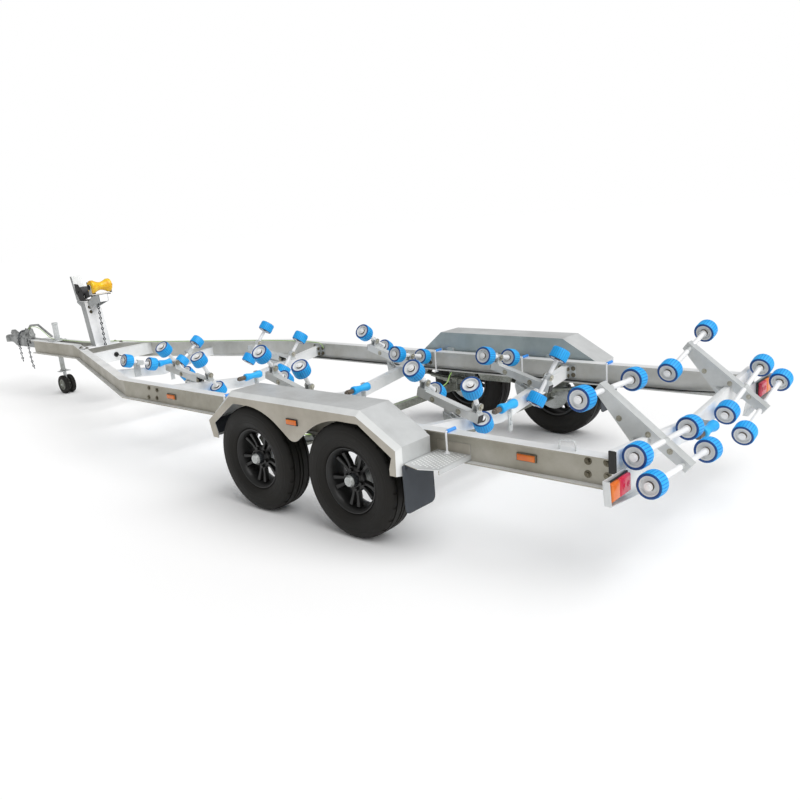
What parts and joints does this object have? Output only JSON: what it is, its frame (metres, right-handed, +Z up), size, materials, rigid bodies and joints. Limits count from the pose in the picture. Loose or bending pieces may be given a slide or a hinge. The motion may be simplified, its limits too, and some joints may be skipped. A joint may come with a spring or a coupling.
{
  "type": "boat trailer",
  "caption": "Multi-roller boat trailer of aluminium beams with swept drawbar, tilting roller cradles, braked wheels under bevelled mudguards, winch post and jockey wheel.",
  "frame": {"origin": "on the ground, under the middle of the overall box", "axes": "+X towards the coupling, +Y to the left side, +Z up"},
  "size_m": [8.872, 2.398, 1.388],
  "materials": {
    "aluminium_beam": "mill",
    "aluminium_sheet": "mill",
    "galvanised_steel": "galvanised",
    "blue_rubber": "moulded",
    "yellow_rubber": "moulded",
    "black_rubber": "moulded",
    "tyre_rubber": "moulded",
    "black_painted_alloy": "gloss",
    "black_painted_steel": "satin",
    "grey_painted_steel": "satin",
    "lamp_plastic": "gloss"
  },
  "bodies": {
    "chassis": {"axle_beams": "galvanised_steel", "bow_roller": "yellow_rubber", "brake_calipers": "galvanised_steel", "coupling": "grey_painted_steel", "cradle_brackets": "galvanised_steel", "crossmembers": "aluminium_beam", "drawbar": "aluminium_beam", "front_pair_rollers": "blue_rubber", "jockey_tube": "galvanised_steel", "keel_brackets": "galvanised_steel", "keel_rollers": "blue_rubber", "lamp_trays": "aluminium_beam", "lamps": "lamp_plastic", "leaf_springs": "galvanised_steel", "main_rail_left": "aluminium_beam", "main_rail_right": "aluminium_beam", "mudflaps": "black_rubber", "mudguard_left": "aluminium_sheet", "mudguard_right": "aluminium_sheet", "mudguard_steps": "aluminium_sheet", "rear_crossmember": "aluminium_beam", "safety_chains": "galvanised_steel", "spring_hangers": "galvanised_steel", "winch_chain": "galvanised_steel", "winch_frame": "black_painted_steel", "winch_post": "aluminium_beam"},
    "front_cradle_left_set": {"front_cradle_left": "galvanised_steel", "front_rollers_left": "blue_rubber"},
    "front_cradle_right_set": {"front_cradle_right": "galvanised_steel", "front_rollers_right": "blue_rubber"},
    "second_cradle_left_set": {"second_cradle_left": "galvanised_steel", "second_rollers_left": "blue_rubber"},
    "second_cradle_right_set": {"second_cradle_right": "galvanised_steel", "second_rollers_right": "blue_rubber"},
    "middle_cradle_left_set": {"middle_cradle_left": "galvanised_steel", "middle_rollers_left": "blue_rubber"},
    "middle_cradle_right_set": {"middle_cradle_right": "galvanised_steel", "middle_rollers_right": "blue_rubber"},
    "rear_cradle_left_set": {"rear_cradle_left": "galvanised_steel", "rear_rollers_left": "blue_rubber"},
    "rear_cradle_right_set": {"rear_cradle_right": "galvanised_steel", "rear_rollers_right": "blue_rubber"},
    "wheel_front_left": {"tyre_front_left": "tyre_rubber", "rim_front_left": "black_painted_alloy", "hub_front_left": "galvanised_steel"},
    "wheel_front_right": {"tyre_front_right": "tyre_rubber", "rim_front_right": "black_painted_alloy", "hub_front_right": "galvanised_steel"},
    "wheel_rear_left": {"tyre_rear_left": "tyre_rubber", "rim_rear_left": "black_painted_alloy", "hub_rear_left": "galvanised_steel"},
    "wheel_rear_right": {"tyre_rear_right": "tyre_rubber", "rim_rear_right": "black_painted_alloy", "hub_rear_right": "galvanised_steel"},
    "jockey_leg_slide": {"jockey_leg": "galvanised_steel"},
    "jockey_caster": {"jockey_fork": "galvanised_steel"},
    "jockey_roller": {"jockey_wheel": "black_rubber"},
    "winch_spool": {"winch_drum": "black_painted_steel"}
  },
  "joints": [
    {"name": "front_cradle_left_pivot", "type": "hinge", "parent": "chassis", "child": "front_cradle_left_set", "pos_m": [-0.18298, 0.434, 0.50762], "axis": [0, 1, 0], "range_deg": [0, 8]},
    {"name": "front_cradle_right_pivot", "type": "hinge", "parent": "chassis", "child": "front_cradle_right_set", "pos_m": [-0.18298, -0.434, 0.50762], "axis": [0, 1, 0], "range_deg": [0, 8]},
    {"name": "second_cradle_left_pivot", "type": "hinge", "parent": "chassis", "child": "second_cradle_left_set", "pos_m": [-1.57992, 0.526, 0.56362], "axis": [0, 1, 0], "range_deg": [0, 8]},
    {"name": "second_cradle_right_pivot", "type": "hinge", "parent": "chassis", "child": "second_cradle_right_set", "pos_m": [-1.57992, -0.526, 0.56362], "axis": [0, 1, 0], "range_deg": [0, 8]},
    {"name": "middle_cradle_left_pivot", "type": "hinge", "parent": "chassis", "child": "middle_cradle_left_set", "pos_m": [-2.86834, 0.392, 0.53392], "axis": [0, 1, 0], "range_deg": [0, 8]},
    {"name": "middle_cradle_right_pivot", "type": "hinge", "parent": "chassis", "child": "middle_cradle_right_set", "pos_m": [-2.86834, -0.392, 0.53392], "axis": [0, 1, 0], "range_deg": [0, 8]},
    {"name": "rear_cradle_left_pivot", "type": "hinge", "parent": "chassis", "child": "rear_cradle_left_set", "pos_m": [-4.149, 0.54, 0.588], "axis": [0, 1, 0], "range_deg": [0, 8]},
    {"name": "rear_cradle_right_pivot", "type": "hinge", "parent": "chassis", "child": "rear_cradle_right_set", "pos_m": [-4.149, -0.54, 0.588], "axis": [0, 1, 0], "range_deg": [0, 8]},
    {"name": "wheel_front_left_spin", "type": "hinge", "parent": "chassis", "child": "wheel_front_left", "pos_m": [-1.956, 1.0835, 0.333], "axis": [0, 1, 0], "continuous": true},
    {"name": "wheel_front_right_spin", "type": "hinge", "parent": "chassis", "child": "wheel_front_right", "pos_m": [-1.956, -1.0835, 0.333], "axis": [0, 1, 0], "continuous": true},
    {"name": "wheel_rear_left_spin", "type": "hinge", "parent": "chassis", "child": "wheel_rear_left", "pos_m": [-2.772, 1.0835, 0.333], "axis": [0, 1, 0], "continuous": true},
    {"name": "wheel_rear_right_spin", "type": "hinge", "parent": "chassis", "child": "wheel_rear_right", "pos_m": [-2.772, -1.0835, 0.333], "axis": [0, 1, 0], "continuous": true},
    {"name": "jockey_leg_height", "type": "slide", "parent": "chassis", "child": "jockey_leg_slide", "axis": [0, 0, 1], "range_m": [0, 0.16]},
    {"name": "jockey_swivel", "type": "hinge", "parent": "jockey_leg_slide", "child": "jockey_caster", "pos_m": [3.076, 0, 0.2], "axis": [0, 0, 1], "continuous": true},
    {"name": "jockey_wheel_spin", "type": "hinge", "parent": "jockey_caster", "child": "jockey_roller", "pos_m": [3.046, 0, 0.105], "axis": [0, 1, 0], "continuous": true},
    {"name": "winch_spin", "type": "hinge", "parent": "chassis", "child": "winch_spool", "pos_m": [2.21711, 0, 1.178], "axis": [0, 1, 0], "continuous": true}
  ]
}
